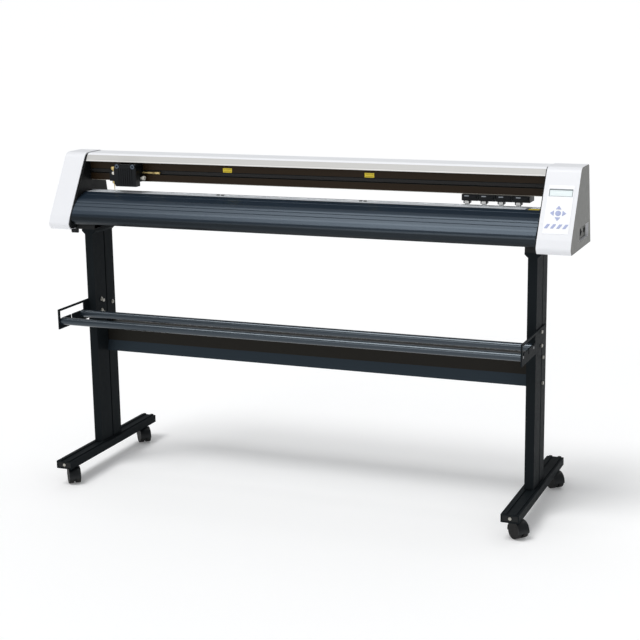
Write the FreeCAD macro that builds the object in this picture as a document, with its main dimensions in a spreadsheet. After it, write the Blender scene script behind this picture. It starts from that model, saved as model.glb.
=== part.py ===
"""Vinyl cutting plotter on a castered stand, as a parametric FreeCAD document.

Millimetres. X runs along the machine to the operator's right, Y to the back, Z up. The origin is
on the floor under the middle of the machine."""

import FreeCAD, Part
import math
import os
import re
import Sketcher

Vector = FreeCAD.Vector
Rotation = FreeCAD.Rotation
DOC = FreeCAD.newDocument("vinyl_cutter")

# ---------------------------------------------------------------- driving dimensions

DRIVING = {
    "overall_width": 1600,
    "head_back": 154,
    "head_back_top": 112,
    "head_top": 974,
    "head_floor": 750,
    "slope_top": 18,
    "slope_foot": -92,
    "slope_foot_level": 792,
    "nose": -103,
    "nose_level": 768,
    "left_cover_width": 68,
    "right_cover_width": 94,
    "cover_wall": 3,
    "plate_thickness": 4,
    "seat_depth": 120,
    "left_seat_width": 64,
    "right_seat_width": 40,
    "leg_inset": 111.5,
    "leg_width": 26.4,
    "leg_depth": 119,
    "leg_wall": 2.5,
    "leg_groove_width": 6,
    "leg_groove_depth": 4,
    "leg_groove_place": 8,
    "flange_width": 46,
    "flange_thickness": 6,
    "gusset_drop": 9,
    "foot_width": 51,
    "foot_length": 534,
    "foot_height": 26,
    "foot_level": 52,
    "foot_rib": 3,
    "beam_front": 0,
    "beam_back": 40,
    "beam_floor": 360,
    "beam_top": 450,
    "beam_bevel_level": 392,
    "beam_bevel": 8,
    "section_wall": 3,
    "bolt_radius": 3,
    "bolt_head": 5,
    "bolt_head_height": 4,
    "beam_bolt_edge": 8,
    "bracket_thickness": 4,
    "bracket_front": -229,
    "bracket_back": 38,
    "bracket_floor": 474,
    "bracket_top": 534,
    "bracket_bolt_place": -16,
    "bracket_bolt_low": 484,
    "bracket_bolt_high": 523,
    "window_front": -221,
    "window_back": -85,
    "window_floor": 506,
    "window_top": 528,
    "media_roller_radius": 11,
    "media_roller_axle": 4,
    "media_roller_level": 497,
    "front_media_place": -213,
    "rear_media_place": -100,
    "caster_place": 219,
    "caster_trail": 20,
    "caster_wheel_radius": 23,
    "caster_wheel_width": 14,
    "caster_hood_wall": 2.5,
    "caster_web": 6,
    "caster_stem": 5.5,
    "platen_deck": 857,
    "platen_deck_front": -6,
    "platen_brow": -50,
    "platen_brow_level": 840,
    "platen_cheek": -78,
    "platen_cheek_level": 812,
    "platen_nose": -91,
    "platen_floor": 768,
    "platen_back": 144,
    "platen_back_top": 134,
    "platen_back_level": 829,
    "trough_front": 33,
    "trough_back": 51,
    "trough_floor": 843,
    "drive_roller_place": 42,
    "drive_roller_level": 852.5,
    "drive_roller_radius": 6.5,
    "drive_journal": 5,
    "support_length": 30,
    "first_support": -282,
    "second_support": 170,
    "strip_foot": 12,
    "strip_foot_level": 949,
    "strip_brow": 22,
    "strip_brow_level": 966,
    "strip_top": 30,
    "rail_front": 39,
    "rail_back": 94,
    "rail_floor": 889,
    "rail_wall": 4,
    "groove_floor": 911,
    "groove_height": 13,
    "groove_depth": 12,
    "dovetail_place": 72,
    "dovetail_width": 12,
    "dovetail_depth": 6,
    "belt_height": 10,
    "belt_thickness": 1.4,
    "belt_pulley_radius": 11.5,
    "pulley_axis_place": 56.5,
    "idler_inset": 40,
    "drive_pulley_inset": 50,
    "tab_thickness": 3,
    "idler_tab_half": 16,
    "idler_axle": 2.5,
    "carriage_motor_side": 42,
    "carriage_motor_height": 45,
    "feed_motor_side": 56.4,
    "feed_motor_length": 45,
    "feed_motor_place": 70,
    "feed_motor_level": 798.5,
    "feed_gap": 21,
    "feed_belt_width": 9,
    "roller_pulley_radius": 18,
    "motor_pulley_radius": 7,
    "carriage_centre": -581.5,
    "carriage_width": 75,
    "carriage_front": -11,
    "carriage_floor": 878,
    "carriage_top": 946,
    "carriage_chin": 18,
    "carriage_cover_wall": 2.5,
    "carriage_cover_depth": 22,
    "cover_ribs": 7,
    "blade_place": 12,
    "blade_offset": -50,
    "blade_radius": 6,
    "blade_tip_level": 861.5,
    "blade_floor": 884,
    "blade_top": 934,
    "pinch_first": 461.5,
    "pinch_pitch": 49,
    "pinch_block_width": 47,
    "pinch_block_floor": 867,
    "pinch_block_front": 31,
    "pinch_block_back": 82,
    "pinch_wheel_radius": 8,
    "pinch_wheel_width": 12,
    "pinch_wheel_offset": 13.5,
    "panel_inset": 46.5,
    "panel_width": 70,
    "panel_top": 27,
    "panel_bottom": -114,
    "panel_thickness": 1.2,
    "panel_rim": 2,
    "display_width": 64.4,
    "display_top": 16,
    "display_bottom": -6,
    "key_centre": -54.6,
    "key_spread": 16.5,
    "key_size": 7.4,
    "key_row": -92.5,
    "key_pitch": 16.5,
    "key_rise": 0.8,
    "key_travel": 0.5,
    "board_depth": 8,
    "board_thickness": 1.6,
    "main_board_front": -58,
    "main_board_back": 22,
    "main_board_floor": 762,
    "main_board_top": 834,
    "standoff": 12,
    "recess_front": 8,
    "recess_back": 118,
    "recess_floor": 774,
    "recess_top": 812,
    "recess_depth": 8,
    "inlet_front": 12,
    "inlet_width": 27,
    "inlet_height": 20,
    "inlet_depth": 22,
    "switch_front": 46,
    "switch_width": 13,
    "switch_height": 19,
    "port_front": 92,
    "port_width": 20,
    "port_height": 12,
    "running_gap": 0.3,
    "shaft_gap": 0.05,
}

# ---------------------------------------------------------------- places worked out from them

WORKED_OUT = {
    "half_width": "overall_width / 2",
    "left_face": "left_cover_width - half_width",
    "right_face": "half_width - right_cover_width",
    "cover_floor": "head_floor + 2",
    "plate_inset": "cover_wall",
    "inner_left": "left_face + plate_thickness",
    "inner_right": "right_face - plate_thickness",
    "inner_span": "inner_right - inner_left",
    "leg_centre": "half_width - leg_inset",
    "panel_centre": "half_width - panel_inset",
    "leg_inner": "leg_centre - leg_width / 2",
    "leg_outer": "leg_centre + leg_width / 2",
    "foot_top": "foot_level + foot_height",
    "bracket_outer": "leg_outer + bracket_thickness",
    "media_roller_half": "leg_outer - 2 * running_gap",
    "rail_top": "head_top - 2 - carriage_cover_wall",
    "groove_top": "groove_floor + groove_height",
    "belt_level": "groove_floor + (groove_height - belt_height) / 2",
    "idler_x": "idler_inset - half_width",
    "drive_pulley_x": "half_width - drive_pulley_inset",
    "tab_top": "groove_floor - 4",
    "motor_plate_x": "right_face + feed_gap",
    "pulley_x": "right_face + 6",
    "carriage_left": "carriage_centre - carriage_width / 2",
    "carriage_right": "carriage_centre + carriage_width / 2",
    "blade_x": "carriage_centre + blade_offset",
    "pinch_wheel_level": "drive_roller_level + drive_roller_radius + running_gap + pinch_wheel_radius",
    "recess_wall": "half_width - recess_depth",
    "recess_inside": "recess_wall - cover_wall",
    "caster_level": "caster_wheel_radius",
    "hood_radius": "caster_wheel_radius + 1.2 + caster_hood_wall",
    "caster_half": "caster_web / 2 + 0.6 + caster_wheel_width",
}


def fill_sheet(name, cells, qualify):
    """A spreadsheet with one aliased cell for each entry."""
    sheet = DOC.addObject("Spreadsheet::Sheet", name)
    for row, (alias, content) in enumerate(cells.items(), start=1):
        sheet.set(f"A{row}", alias)
        sheet.set(f"B{row}", qualify(content))
        sheet.setAlias(f"B{row}", alias)
    return sheet


def from_places(expression):
    """The expression as the Places sheet writes it."""
    return re.sub(r"[a-z_]+", lambda word: "Sizes." + word[0] if word[0] in DRIVING else word[0], expression)


SIZES = fill_sheet("Sizes", DRIVING, str)
PLACES = fill_sheet("Places", WORKED_OUT, lambda content: "=" + from_places(content))
RECKONER = DOC.addObject("Spreadsheet::Sheet", "Reckoner")
DOC.recompute()


def bound(expression):
    """The expression as any other object writes it, with both sheets named."""
    def named(word):
        if word[0] in DRIVING:
            return "Sizes." + word[0]
        return "Places." + word[0] if word[0] in WORKED_OUT else word[0]
    return re.sub(r"[a-z_]+", named, str(expression))


def number(expression):
    """The value that an expression has now, worked out by a cell of a sheet that nothing reads."""
    RECKONER.set("A1", "=" + bound(expression))
    RECKONER.recompute()
    return float(RECKONER.get("A1"))


def bind(thing, **properties):
    """Ties properties, and the corner x, y, z, to expressions."""
    for name, expression in properties.items():
        path = f"Placement.Base.{name}" if name in ("x", "y", "z") else name
        thing.setExpression(path, bound(expression))
    return thing


# ---------------------------------------------------------------- primitives and booleans


def box(name, x, y, z, length, width, height):
    return bind(DOC.addObject("Part::Box", name), x=x, y=y, z=z, Length=length, Width=width, Height=height)


TURNS = {
    "X": Rotation(Vector(0, 1, 0), 90),
    "Y": Rotation(Vector(1, 0, 0), -90),
    "Z": Rotation(),
}


def rod(name, axis, x, y, z, radius, length):
    """A cylinder from x, y, z along one axis."""
    cylinder = DOC.addObject("Part::Cylinder", name)
    cylinder.Placement = FreeCAD.Placement(Vector(), TURNS[axis])
    return bind(cylinder, x=x, y=y, z=z, Radius=radius, Height=length)


def fuse(name, shapes):
    joined = DOC.addObject("Part::MultiFuse", name)
    joined.Shapes = shapes
    joined.Refine = True
    return joined


def cut(name, base, tools):
    less = DOC.addObject("Part::Cut", name)
    less.Base = base
    less.Tool = tools[0] if len(tools) == 1 else fuse(name + "_tools", tools)
    less.Refine = True
    return less


def group(name, shapes):
    """Separate solids that share one node."""
    together = DOC.addObject("Part::Compound", name)
    together.Links = shapes
    return together


# ---------------------------------------------------------------- sketched bodies


def new_body(name):
    return DOC.addObject("PartDesign::Body", name)


def new_sketch(body, role, offset):
    plane = next(feature for feature in body.Origin.OriginFeatures if feature.Role == role)
    sketch = body.newObject("Sketcher::SketchObject", body.Name + "_sketch")
    sketch.AttachmentSupport = [(plane, "")]
    sketch.MapMode = "FlatFace"
    sketch.setExpression("AttachmentOffset.Base.z", bound(offset))
    return sketch


def outline(body, role, corners, offset="0"):
    """A closed polygon whose every corner is two expressions from the sketch's origin."""
    sketch = new_sketch(body, role, offset)
    add_outline(sketch, corners)
    return sketch


def add_outline(sketch, corners):
    points = [Vector(number(u), number(v), 0) for u, v in corners]
    first = sketch.GeometryCount
    for start, end in zip(points, points[1:] + points[:1]):
        sketch.addGeometry(Part.LineSegment(start, end), False)
    for index, (point, corner) in enumerate(zip(points, corners)):
        edge = first + index
        after = first + (index + 1) % len(points)
        sketch.addConstraint(Sketcher.Constraint("Coincident", edge, 2, after, 1))
        for direction, value, expression in zip(("DistanceX", "DistanceY"), point, corner):
            row = sketch.addConstraint(Sketcher.Constraint(direction, -1, 1, edge, 1, value))
            sketch.setExpression(f"Constraints[{row}]", bound(expression))


def circles(body, role, places, offset="0"):
    """Circles, each with its centre and radius as expressions."""
    sketch = new_sketch(body, role, offset)
    for index, (u, v, radius) in enumerate(places):
        centre = Vector(number(u), number(v), 0)
        sketch.addGeometry(Part.Circle(centre, Vector(0, 0, 1), number(radius)), False)
        rules = (
            (Sketcher.Constraint("DistanceX", -1, 1, index, 3, centre.x), u),
            (Sketcher.Constraint("DistanceY", -1, 1, index, 3, centre.y), v),
            (Sketcher.Constraint("Radius", index, number(radius)), radius),
        )
        for rule, expression in rules:
            row = sketch.addConstraint(rule)
            sketch.setExpression(f"Constraints[{row}]", bound(expression))
    return sketch


def rectangle(u, v, wide, tall):
    return [(u, v), (f"{u} + {wide}", v), (f"{u} + {wide}", f"{v} + {tall}"), (u, f"{v} + {tall}")]


def pad(body, sketch, length):
    feature = body.newObject("PartDesign::Pad", body.Name + "_pad")
    feature.Profile = sketch
    feature.setExpression("Length", bound(length))
    DOC.recompute()
    return feature


def pocket(body, sketch, length, forward=True):
    """Cuts a sketch's outlines out, towards the side that the sketch plane's normal points to."""
    before = body.Shape.Volume
    feature = body.newObject("PartDesign::Pocket", body.Name + "_pocket")
    feature.Profile = sketch
    feature.Reversed = forward
    feature.setExpression("Length", bound(length))
    DOC.recompute()
    if not body.Shape.Volume < before:
        raise ValueError("a pocket in " + body.Name + " cuts nothing")
    return feature


def edges_at(shape, axis, places, reach=1.5):
    """Names of the straight edges along one axis that pass each place of the section."""
    names = []
    for index, edge in enumerate(shape.Edges, start=1):
        if edge.Curve.TypeId != "Part::GeomLine":
            continue
        if abs(abs(edge.tangentAt(edge.FirstParameter).dot(axis)) - 1) > 0.001:
            continue
        middle = edge.CenterOfMass
        section = middle - axis * middle.dot(axis)
        if any((section - place).Length < reach for place in places):
            names.append(f"Edge{index}")
    return names


def fillet(body, feature, axis, places, radius):
    edges = edges_at(feature.Shape, axis, places)
    if not edges:
        raise ValueError(f"no edge to round in {body.Name} at {places}")
    rounded = body.newObject("PartDesign::Fillet", body.Name + "_fillet")
    rounded.Base = (feature, edges)
    rounded.Radius = radius
    DOC.recompute()
    return rounded


def section_place(y, z):
    return Vector(0, number(y), number(z))


def hollow(body, feature, open_faces, wall):
    """Leaves a wall inside the outer faces and opens the faces that the test picks."""
    names = [f"Face{i}" for i, face in enumerate(feature.Shape.Faces, start=1) if open_faces(face)]
    shell = body.newObject("PartDesign::Thickness", body.Name + "_shell")
    shell.Base = (feature, names)
    shell.Reversed = True
    shell.setExpression("Value", bound(wall))
    DOC.recompute()
    return shell


def facing(axis, place):
    """A test for flat faces across one axis at one place."""
    def test(face):
        if face.Surface.TypeId != "Part::GeomPlane":
            return False
        straight = abs(abs(face.normalAt(0, 0).dot(axis)) - 1) < 0.001
        return straight and abs(face.CenterOfMass.dot(axis) - place) < 0.01
    return test


ALONG_X = Vector(1, 0, 0)
ALONG_Y = Vector(0, 1, 0)
ALONG_Z = Vector(0, 0, 1)
PARTS = []


def keep(thing, name):
    """Names a finished sub-part; its Label becomes its file's name."""
    thing.Label = name
    PARTS.append(thing)
    return thing


# ---------------------------------------------------------------- stand


def make_foot(name, centre):
    """A hollow extruded bar with two raised ribs along its top."""
    body = new_body(name)
    half = "foot_width / 2"
    low = "foot_top - foot_rib"
    section = [(f"0 - {half}", "foot_level"), (half, "foot_level"), (half, low)]
    for outer, inner in (("18", "9"), ("0 - 9", "0 - 18")):
        section += [(outer, low), (outer, "foot_top"), (inner, "foot_top"), (inner, low)]
    section.append((f"0 - {half}", low))
    pad(body, outline(body, "XZ_Plane", section, "0 - foot_length / 2"), "foot_length")
    inside = rectangle("section_wall - foot_width / 2", "foot_level + section_wall",
                       "foot_width - 2 * section_wall", "foot_height - foot_rib - 2 * section_wall")
    pocket(body, outline(body, "XZ_Plane", inside, "0 - foot_length / 2"), "foot_length")
    stems = [("0", place, "caster_stem + shaft_gap") for place in ("caster_place", "0 - caster_place")]
    pocket(body, circles(body, "XY_Plane", stems, "foot_level"), "section_wall")
    keep(bind(body, x=centre), name)


def make_leg(name, centre):
    """A grooved box column with its mounting plate and two gussets on top."""
    body = new_body(name)
    half = "leg_width / 2"
    back = "leg_depth / 2"
    near = "leg_groove_place - leg_groove_width / 2"
    far = "leg_groove_place + leg_groove_width / 2"
    deep = f"{half} - leg_groove_depth"
    right = [(half, f"0 - {back}"), (half, near), (deep, near), (deep, far), (half, far), (half, back)]
    left = [(f"0 - ({u})", v) for u, v in reversed(right)]
    tall = "head_floor - flange_thickness - foot_top"
    pad(body, outline(body, "XY_Plane", right + left, "foot_top"), tall)
    wide = "leg_width - 2 * leg_wall"
    rooms = outline(body, "XY_Plane", rectangle("leg_wall - leg_width / 2", "leg_wall - leg_depth / 2", wide,
                    f"{near} - 2 * leg_wall + leg_depth / 2"), "foot_top")
    add_outline(rooms, rectangle("leg_wall - leg_width / 2", f"{far} + leg_wall", wide,
                                 f"leg_depth / 2 - 2 * leg_wall - {far}"))
    pocket(body, rooms, tall)
    flange = "0 - flange_width / 2"
    gusset = "head_floor - flange_thickness - gusset_drop"
    plate = [(flange, "head_floor"), (flange, "head_floor - flange_thickness"),
             (f"0 - {half}", gusset), (half, gusset),
             ("flange_width / 2", "head_floor - flange_thickness"), ("flange_width / 2", "head_floor")]
    pad(body, outline(body, "XZ_Plane", plate, f"0 - {back}"), "leg_depth")
    bolts = [("bracket_bolt_place", "bracket_bolt_low"), ("bracket_bolt_place", "bracket_bolt_high")]
    bolts += [(BEAM_BOLT_PLACE, "beam_floor + beam_bolt_edge"),
              (BEAM_BOLT_PLACE, "beam_top - beam_bolt_edge")]
    holes = [(y, z, "bolt_radius + shaft_gap") for y, z in bolts]
    pocket(body, circles(body, "YZ_Plane", holes, f"0 - {half}"), "leg_width")
    keep(bind(body, x=centre), name)


BEAM_BOLT_PLACE = "(beam_front + beam_back) / 2"


def make_crossbeam():
    """A box beam between the legs, its front face set back above a bevel."""
    body = new_body("crossbeam")
    upper = "beam_front + beam_bevel"
    section = [("beam_front", "beam_floor"), ("beam_back", "beam_floor"), ("beam_back", "beam_top"),
               (upper, "beam_top"), (upper, "beam_bevel_level"), ("beam_front", "beam_floor + 4")]
    length = "2 * leg_inner"
    bar = pad(body, outline(body, "YZ_Plane", section, "0 - leg_inner"), length)
    end = number("leg_inner")
    hollow(body, bar, lambda face: facing(ALONG_X, end)(face) or facing(ALONG_X, -end)(face), "section_wall")
    keep(body, "crossbeam")


def make_stand_bolts():
    """The bolts that hold the crossbeam and the media brackets to the legs."""
    bolts = []
    head = "bolt_head_height"
    for side in (1, -1):
        for number_, level in enumerate(("bracket_bolt_low", "bracket_bolt_high")):
            name = f"bracket_bolt_{number_}_{'left' if side < 0 else 'right'}"
            start = "leg_inner - bolt_head_height" if side > 0 else "0 - bracket_outer"
            shank = rod(name + "_shank", "X", start, "bracket_bolt_place", level, "bolt_radius",
                        "bracket_outer - leg_inner + bolt_head_height")
            outer = "bracket_outer" if side > 0 else "0 - bracket_outer - bolt_head_height"
            inner = "leg_inner - bolt_head_height" if side > 0 else "0 - leg_inner"
            ends = [rod(f"{name}_{end}", "X", x, "bracket_bolt_place", level, "bolt_head", head)
                    for end, x in (("outer", outer), ("inner", inner))]
            bolts.append(fuse(name, [shank] + ends))
        for number_, level in enumerate(("beam_floor + beam_bolt_edge", "beam_top - beam_bolt_edge")):
            name = f"beam_bolt_{number_}_{'left' if side < 0 else 'right'}"
            outer = "leg_outer" if side > 0 else "0 - leg_outer - bolt_head_height"
            start = "leg_inner - 16" if side > 0 else "0 - leg_outer"
            shank = rod(name + "_shank", "X", start, BEAM_BOLT_PLACE, level, "bolt_radius", "leg_width + 16")
            bolts.append(fuse(name, [shank, rod(name + "_head", "X", outer, BEAM_BOLT_PLACE, level,
                                                "bolt_head", head)]))
    keep(group("stand_bolts", bolts), "stand_bolts")


def make_media_bracket(name, face):
    """A plate with a long window and three open slots for the media rollers' axles."""
    body = new_body(name)
    side = rectangle("bracket_front", "bracket_floor", "bracket_back - bracket_front",
                     "bracket_top - bracket_floor")
    pad(body, outline(body, "YZ_Plane", side), "bracket_thickness")
    window = [("window_front", "window_top"), ("window_front", "window_floor")]
    slot_half = "(media_roller_axle + running_gap)"
    slot_floor = "media_roller_level - media_roller_axle - running_gap"
    middle = "(front_media_place + rear_media_place) / 2"
    for place in ("front_media_place", middle, "rear_media_place"):
        window += [(f"{place} - {slot_half}", "window_floor"), (f"{place} - {slot_half}", slot_floor),
                   (f"{place} + {slot_half}", slot_floor), (f"{place} + {slot_half}", "window_floor")]
    window += [("window_back", "window_floor"), ("window_back", "window_top")]
    pocket(body, outline(body, "YZ_Plane", window), "bracket_thickness")
    holes = [("bracket_bolt_place", level, "bolt_radius + shaft_gap")
             for level in ("bracket_bolt_low", "bracket_bolt_high")]
    pocket(body, circles(body, "YZ_Plane", holes), "bracket_thickness")
    keep(bind(body, x=face), name)


def make_media_roller(name, place):
    """A loose tube roller whose axle ends lie in the brackets' slots."""
    barrel = rod(name + "_barrel", "X", "0 - media_roller_half", place, "media_roller_level",
                 "media_roller_radius", "2 * media_roller_half")
    axle = rod(name + "_axle", "X", "0 - bracket_outer", place, "media_roller_level", "media_roller_axle",
               "2 * bracket_outer")
    keep(fuse(name, [barrel, axle]), name)


CASTERS = {
    "front_left": ("0 - leg_centre", "0 - caster_place", -50),
    "front_right": ("leg_centre", "0 - caster_place", -40),
    "rear_left": ("0 - leg_centre", "caster_place", -46),
    "rear_right": ("leg_centre", "caster_place", -46),
}


def make_caster(corner, x, y, turn):
    """A hooded twin-wheel caster: the hood with its stem, and the two wheels on their axle."""
    hood_name = "caster_hood_" + corner
    shell = rod(hood_name + "_shell", "Y", "caster_trail", "0 - caster_half", "caster_level", "hood_radius",
                "2 * caster_half")
    below = box(hood_name + "_below", "caster_trail - 2 * hood_radius", "0 - 2 * caster_half",
                "0 - hood_radius", "4 * hood_radius", "4 * caster_half", "hood_radius + caster_level - 4")
    rooms = [rod(f"{hood_name}_room_{side}", "Y", "caster_trail", start, "caster_level",
                 "hood_radius - caster_hood_wall", "caster_half")
             for side, start in (("a", "caster_web / 2"), ("b", "0 - caster_web / 2 - caster_half"))]
    cover = cut(hood_name + "_cover", shell, [below] + rooms)
    web = rod(hood_name + "_web", "Y", "caster_trail", "0 - caster_web / 2", "caster_level",
              "caster_wheel_radius - 4", "caster_web")
    neck = rod(hood_name + "_neck", "Z", "0", "0", "foot_level - 12", "caster_stem + 4", "12")
    arm = box(hood_name + "_arm", "0", "0 - caster_web / 2", "caster_level + 8", "caster_trail",
              "caster_web", "foot_level - caster_level - 8")
    stem = rod(hood_name + "_stem", "Z", "0", "0", "foot_level - 12", "caster_stem", "12 + section_wall")
    bore = rod(hood_name + "_bore", "Y", "caster_trail", "0 - caster_web", "caster_level", "3 + shaft_gap",
               "2 * caster_web")
    clear = [rod(f"{hood_name}_clear_{side}", "Y", "caster_trail", start, "caster_level",
                 "hood_radius - caster_hood_wall", "caster_half")
             for side, start in (("a", "caster_web / 2"), ("b", "0 - caster_web / 2 - caster_half"))]
    solid = fuse(hood_name + "_solid", [cover, web, cut(hood_name + "_necked", fuse(
        hood_name + "_post", [neck, arm]), clear), stem])
    hood = cut(hood_name, solid, [bore])
    wheel_name = "caster_wheels_" + corner
    axle = rod(wheel_name + "_axle", "Y", "caster_trail", "0 - caster_half", "caster_level", "3",
               "2 * caster_half")
    wheels = [rod(f"{wheel_name}_{side}", "Y", "caster_trail", start, "caster_level",
                  "caster_wheel_radius", "caster_wheel_width")
              for side, start in (("a", "caster_web / 2 + 0.6"), ("b", "0 - caster_half"))]
    for thing, name in ((hood, hood_name), (fuse(wheel_name, [axle] + wheels), wheel_name)):
        thing.Placement = FreeCAD.Placement(Vector(), Rotation(ALONG_Z, turn))
        keep(bind(thing, x=x, y=y), name)


def make_stand():
    make_foot("left_foot", "0 - leg_centre")
    make_foot("right_foot", "leg_centre")
    make_leg("left_leg", "0 - leg_centre")
    make_leg("right_leg", "leg_centre")
    make_crossbeam()
    make_media_bracket("left_media_bracket", "0 - bracket_outer")
    make_media_bracket("right_media_bracket", "leg_outer")
    make_stand_bolts()
    make_media_roller("front_media_roller", "front_media_place")
    make_media_roller("rear_media_roller", "rear_media_place")
    for corner, (x, y, turn) in CASTERS.items():
        make_caster(corner, x, y, turn)


# ---------------------------------------------------------------- head frame and covers

SLOPE_TURN = math.degrees(math.atan2(number("head_top - slope_foot_level"), number("slope_top - slope_foot")))
COVER_SIDE = [("head_back", "cover_floor"), ("head_back_top", "head_top"), ("slope_top", "head_top"),
              ("slope_foot", "slope_foot_level"), ("nose", "nose_level"), ("nose + 12", "cover_floor")]
COVER_ROUNDS = (
    (("slope_top", "head_top"), 26),
    (("nose", "nose_level"), 12),
    (("nose + 12", "cover_floor"), 10),
    (("head_back_top", "head_top"), 10),
)


def make_end_cover(name, start, width, inner_face, cuts):
    """A moulded end cover: a rounded wedge, hollow and open towards the side plate."""
    body = new_body(name + "_shell" if cuts else name)
    feature = pad(body, outline(body, "YZ_Plane", COVER_SIDE, start), width)
    for corner, radius in COVER_ROUNDS:
        feature = fillet(body, feature, ALONG_X, [section_place(*corner)], radius)
    if cuts:
        hole = rectangle("recess_front", "recess_floor", "recess_back - recess_front",
                         "recess_top - recess_floor")
        feature = pocket(body, outline(body, "YZ_Plane", hole, "recess_wall"), "recess_depth")
    hollow(body, feature, facing(ALONG_X, number(inner_face)), "cover_wall")
    if not cuts:
        keep(body, name)
        return
    tools = [
        on_slope("panel_opening", "panel_centre - panel_width / 2 + panel_rim", "panel_bottom + panel_rim",
                 "0 - 2 * cover_wall", "panel_width - 2 * panel_rim",
                 "panel_top - panel_bottom - 2 * panel_rim", "4 * cover_wall"),
        box("inlet_opening", "recess_inside - 1", "inlet_front - shaft_gap", f"{INLET_FLOOR} - shaft_gap",
            "cover_wall + 2", "inlet_width + 2 * shaft_gap", "inlet_height + 2 * shaft_gap"),
        box("switch_opening", "recess_inside - 1", "switch_front", SWITCH_FLOOR, "cover_wall + 2",
            "switch_width", "switch_height"),
        box("port_opening", "recess_inside - 1", "port_front - shaft_gap", f"{PORT_FLOOR} - shaft_gap",
            "cover_wall + 2", "port_width + 2 * shaft_gap", "port_height + 2 * shaft_gap"),
    ]
    keep(cut(name, body, tools), name)


RECESS_MIDDLE = "(recess_floor + recess_top) / 2"
INLET_FLOOR = f"{RECESS_MIDDLE} - inlet_height / 2"
SWITCH_FLOOR = f"{RECESS_MIDDLE} - switch_height / 2"
PORT_FLOOR = f"{RECESS_MIDDLE} - port_height / 2"


def to_slope(thing, x, up, out):
    """Lays a thing on the sloping front: x across, up along the slope from its datum, out of it."""
    rise = math.sin(math.radians(SLOPE_TURN))
    run = math.cos(math.radians(SLOPE_TURN))
    thing.Placement = FreeCAD.Placement(Vector(), Rotation(ALONG_X, SLOPE_TURN))
    return bind(thing, x=x, y=f"{DATUM_Y} + ({up}) * {run:.9f} - ({out}) * {rise:.9f}",
                z=f"{DATUM_Z} + ({up}) * {rise:.9f} + ({out}) * {run:.9f}")


DATUM_Z = "(head_top - 69)"
DATUM_Y = "(slope_top - 69 * (slope_top - slope_foot) / (head_top - slope_foot_level))"


def on_slope(name, x, up, out, length, width, height):
    """A box on the sloping front."""
    block = bind(DOC.addObject("Part::Box", name), Length=length, Width=width, Height=height)
    return to_slope(block, x, up, out)


def make_side_plate(name, face):
    """A steel end plate with its box seat for the leg and the windows for shaft and belt."""
    body = new_body(name)
    inset = "plate_inset"
    lean = f"{inset} * 1.17"
    side = [(f"head_back - {inset}", f"cover_floor + {inset}"),
            (f"head_back_top - {inset}", f"head_top - {inset}"),
            (f"slope_top + {lean}", f"head_top - {inset} - 4"),
            (f"slope_foot + {lean}", "slope_foot_level - 4"),
            (f"nose + {inset} + 2", "nose_level"), (f"nose + 12 + {inset}", f"cover_floor + {inset}")]
    pad(body, outline(body, "YZ_Plane", side, face), "plate_thickness")
    pocket(body, circles(body, "YZ_Plane", [("drive_roller_place", "drive_roller_level",
                                             "drive_journal + shaft_gap")], face), "plate_thickness")
    window = rectangle("rail_front + 1", "groove_floor - 3", "pulley_axis_place + 18 - rail_front",
                       "groove_height + 6")
    pocket(body, outline(body, "YZ_Plane", window, face), "plate_thickness")
    return body


def seat_tube(name, x, width):
    """The welded box seat that the leg's plate bolts to."""
    body = new_body(name)
    tall = "platen_floor - head_floor"
    around = rectangle("0 - seat_depth / 2", "head_floor", "seat_depth", tall)
    sketch = outline(body, "YZ_Plane", around, x)
    add_outline(sketch, rectangle("section_wall - seat_depth / 2", "head_floor + section_wall",
                                  "seat_depth - 2 * section_wall", f"{tall} - 2 * section_wall"))
    pad(body, sketch, width)
    return body


def make_left_side_plate():
    plate = make_side_plate("left_end_plate", "left_face")
    seat = seat_tube("left_leg_seat", "left_face", "left_seat_width")
    tab = box("idler_tab", "idler_x - idler_tab_half", "pulley_axis_place - idler_tab_half",
              "tab_top - tab_thickness", "left_face - idler_x + idler_tab_half", "2 * idler_tab_half",
              "tab_thickness")
    hole = rod("idler_hole", "Z", "idler_x", "pulley_axis_place", "tab_top - 2 * tab_thickness",
               "idler_axle + shaft_gap", "3 * tab_thickness")
    keep(fuse("left_side_plate", [plate, seat, cut("idler_shelf", tab, [hole])]), "left_side_plate")


def make_right_side_plate():
    plate = make_side_plate("right_end_plate", "inner_right")
    seat = seat_tube("right_leg_seat", "right_face - right_seat_width", "right_seat_width")
    half = "carriage_motor_side / 2"
    shelf = cut("motor_shelf", box("motor_tab", "right_face", f"pulley_axis_place - {half}",
                                   "tab_top - tab_thickness", f"drive_pulley_x + {half} - right_face",
                                   "carriage_motor_side", "tab_thickness"),
                [rod("motor_hole", "Z", "drive_pulley_x", "pulley_axis_place", "tab_top - 10", "9", "20")])
    side = "feed_motor_side"
    corner = "feed_motor_place - feed_motor_side / 2"
    floor = "feed_motor_level - feed_motor_side / 2"
    face = cut("feed_plate_drilled", box("feed_plate", "motor_plate_x - tab_thickness", corner, floor,
                                         "tab_thickness", side, side),
               [rod("feed_pilot_hole", "X", "motor_plate_x - 10", "feed_motor_place", "feed_motor_level",
                    "12", "20")])
    web = box("feed_web", "right_face", f"{corner} + {side} - tab_thickness", floor, "feed_gap",
              "tab_thickness", side)
    keep(fuse("right_side_plate", [plate, seat, shelf, face, web]), "right_side_plate")


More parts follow.
